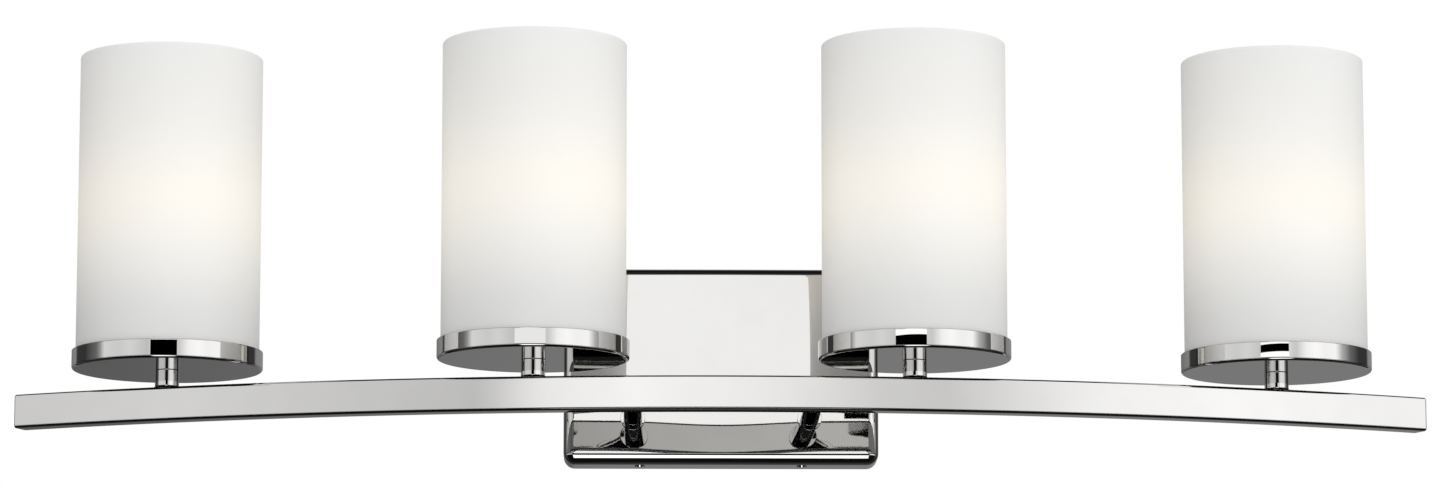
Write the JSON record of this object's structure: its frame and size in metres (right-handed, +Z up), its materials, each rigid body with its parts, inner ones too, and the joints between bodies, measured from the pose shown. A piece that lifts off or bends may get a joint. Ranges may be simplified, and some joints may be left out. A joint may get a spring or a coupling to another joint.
{
  "type": "vanity light bar",
  "caption": "Wall vanity light with a bowed square-edged bar on two arms, round pans and upright opal glass cylinder shades around screw-in lamps.",
  "frame": {"origin": "on the wall plane at the centre of the backplate, which is also the centre of the strap's outlet box slots", "axes": "+X along the wall to the right as seen from the room, -Y out into the room, +Z up"},
  "size_m": [0.7938, 0.1781, 0.2222],
  "materials": {
    "chrome": "polished plated chrome",
    "zinc_steel": "zinc plated steel",
    "green_steel": "green ground screw",
    "opal_glass": "satin etched white opal glass",
    "lamp_glass": "soft white frosted bulb",
    "nickel": "rolled shell, semi gloss",
    "brass": "stamped contact",
    "holder_body": "glazed moulded lamp holder",
    "ring_plastic": "moulded, satin",
    "gasket": "soft silicone",
    "lead_black": "insulation",
    "lead_white": "insulation",
    "ground_green": "insulation",
    "connector": "moulded twist-on connector"
  },
  "bodies": {
    "fixture": {"backplate": "chrome", "bar": "chrome", "bar_end_cap_left": "chrome", "bar_end_cap_right": "chrome", "arm_left": "chrome", "arm_right": "chrome", "arm_collars": "chrome", "cover_screws": "chrome", "post_1": "chrome", "post_2": "chrome", "post_3": "chrome", "post_4": "chrome", "pan_1": "chrome", "pan_2": "chrome", "pan_3": "chrome", "pan_4": "chrome", "wall_strap": "zinc_steel", "arm_nuts": "zinc_steel", "arm_washers": "zinc_steel", "nipples": "zinc_steel", "pan_nuts": "zinc_steel", "ground_screw": "green_steel", "screw_shell_1": "nickel", "screw_shell_2": "nickel", "screw_shell_3": "nickel", "screw_shell_4": "nickel", "centre_contacts": "brass", "socket_1": "holder_body", "socket_2": "holder_body", "socket_3": "holder_body", "socket_4": "holder_body", "lead_black": "lead_black", "lead_white": "lead_white", "ground_wire": "ground_green", "wire_connectors": "connector"},
    "shade_1": {"glass_shade_1": "opal_glass", "gasket_1": "gasket"},
    "ring_1": {"socket_ring_1": "ring_plastic"},
    "lamp_1": {"lamp_base_1": "nickel", "lamp_glass_1": "lamp_glass"},
    "shade_2": {"glass_shade_2": "opal_glass", "gasket_2": "gasket"},
    "ring_2": {"socket_ring_2": "ring_plastic"},
    "lamp_2": {"lamp_base_2": "nickel", "lamp_glass_2": "lamp_glass"},
    "shade_3": {"glass_shade_3": "opal_glass", "gasket_3": "gasket"},
    "ring_3": {"socket_ring_3": "ring_plastic"},
    "lamp_3": {"lamp_base_3": "nickel", "lamp_glass_3": "lamp_glass"},
    "shade_4": {"glass_shade_4": "opal_glass", "gasket_4": "gasket"},
    "ring_4": {"socket_ring_4": "ring_plastic"},
    "lamp_4": {"lamp_base_4": "nickel", "lamp_glass_4": "lamp_glass"}
  },
  "joints": [
    {"name": "shade_1_lift", "type": "slide", "parent": "fixture", "child": "shade_1", "axis": [0, 0, 1], "range_m": [0, 0.18]},
    {"name": "ring_1_turn", "type": "hinge", "parent": "shade_1", "child": "ring_1", "pos_m": [-0.30897, -0.07874, 0], "axis": [0, 0, 1], "continuous": true},
    {"name": "lamp_1_lift", "type": "slide", "parent": "shade_1", "child": "lamp_1", "axis": [0, 0, 1], "range_m": [0, 0.16]},
    {"name": "shade_2_lift", "type": "slide", "parent": "fixture", "child": "shade_2", "axis": [0, 0, 1], "range_m": [0, 0.18]},
    {"name": "ring_2_turn", "type": "hinge", "parent": "shade_2", "child": "ring_2", "pos_m": [-0.10473, -0.12515, 0], "axis": [0, 0, 1], "continuous": true},
    {"name": "lamp_2_lift", "type": "slide", "parent": "shade_2", "child": "lamp_2", "axis": [0, 0, 1], "range_m": [0, 0.16]},
    {"name": "shade_3_lift", "type": "slide", "parent": "fixture", "child": "shade_3", "axis": [0, 0, 1], "range_m": [0, 0.18]},
    {"name": "ring_3_turn", "type": "hinge", "parent": "shade_3", "child": "ring_3", "pos_m": [0.10473, -0.12515, 0], "axis": [0, 0, 1], "continuous": true},
    {"name": "lamp_3_lift", "type": "slide", "parent": "shade_3", "child": "lamp_3", "axis": [0, 0, 1], "range_m": [0, 0.16]},
    {"name": "shade_4_lift", "type": "slide", "parent": "fixture", "child": "shade_4", "axis": [0, 0, 1], "range_m": [0, 0.18]},
    {"name": "ring_4_turn", "type": "hinge", "parent": "shade_4", "child": "ring_4", "pos_m": [0.30897, -0.07874, 0], "axis": [0, 0, 1], "continuous": true},
    {"name": "lamp_4_lift", "type": "slide", "parent": "shade_4", "child": "lamp_4", "axis": [0, 0, 1], "range_m": [0, 0.16]}
  ]
}
